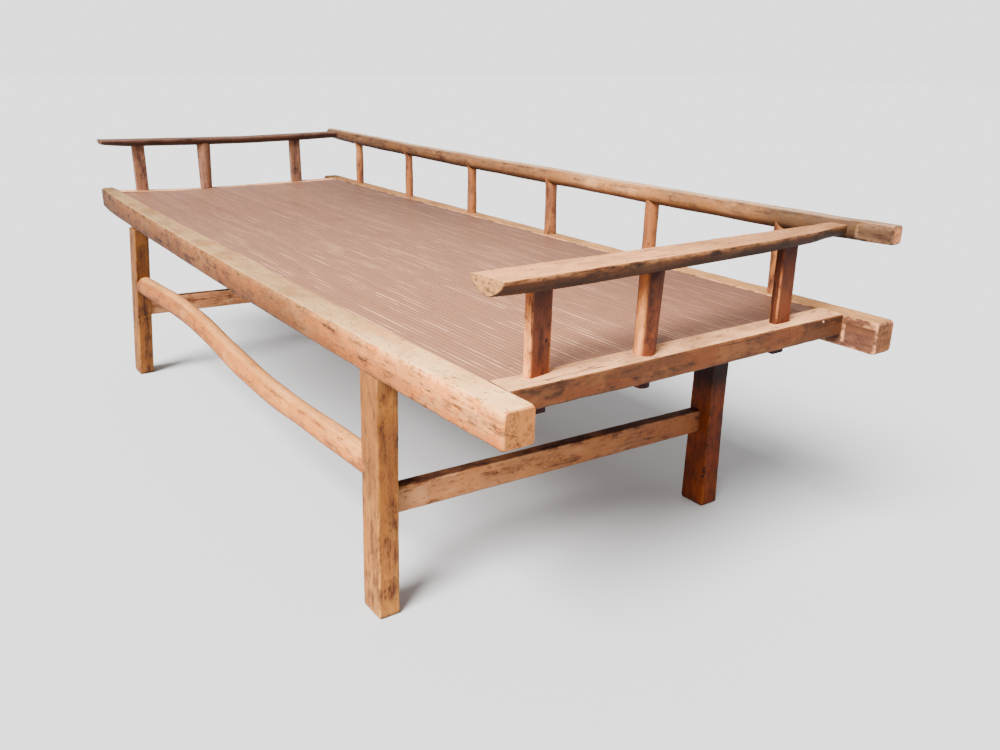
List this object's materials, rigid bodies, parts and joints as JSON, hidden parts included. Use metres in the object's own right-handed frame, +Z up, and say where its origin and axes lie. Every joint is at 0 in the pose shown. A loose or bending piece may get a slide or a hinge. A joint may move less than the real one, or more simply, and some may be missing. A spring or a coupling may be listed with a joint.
{
  "type": "daybed",
  "caption": "Low rustic daybed: a bamboo-strip seat in a projecting timber frame on splayed legs, with a low post railing along the back and both ends.",
  "frame": {"origin": "on the floor, under the middle of the daybed's overall box", "axes": "+X along the long rails to the end with the stouter armrest, +Y from the open front to the back railing, +Z up"},
  "size_m": [2.15, 0.806, 0.6403],
  "materials": {
    "frame_wood": "weathered, oiled by use, dry end grain",
    "rail_wood": "weathered natural poles, worn smooth",
    "bamboo": "aged split bamboo, satin"
  },
  "bodies": {
    "root": {"back_handrail": "rail_wood", "back_lath": "bamboo", "back_left_leg": "frame_wood", "back_post_1": "rail_wood", "back_post_2": "rail_wood", "back_post_3": "rail_wood", "back_post_4": "rail_wood", "back_post_5": "rail_wood", "back_post_6": "rail_wood", "back_rail": "frame_wood", "back_right_leg": "frame_wood", "bamboo_nail": "bamboo", "bamboo_strips_back": "bamboo", "bamboo_strips_front": "bamboo", "bamboo_strips_middle": "bamboo", "bearer_1": "frame_wood", "bearer_2": "frame_wood", "bearer_3": "frame_wood", "bearer_4": "frame_wood", "bearer_5": "frame_wood", "front_left_leg": "frame_wood", "front_rail": "frame_wood", "front_right_leg": "frame_wood", "front_stretcher": "rail_wood", "left_arm_post_front": "rail_wood", "left_arm_post_middle": "rail_wood", "left_arm_post_rear": "rail_wood", "left_armrest": "rail_wood", "left_end_rail": "frame_wood", "left_end_stretcher": "frame_wood", "right_arm_post_front": "rail_wood", "right_arm_post_middle": "rail_wood", "right_arm_post_rear": "rail_wood", "right_armrest": "rail_wood", "right_end_rail": "frame_wood", "right_end_stretcher": "frame_wood"}
  },
  "joints": []
}
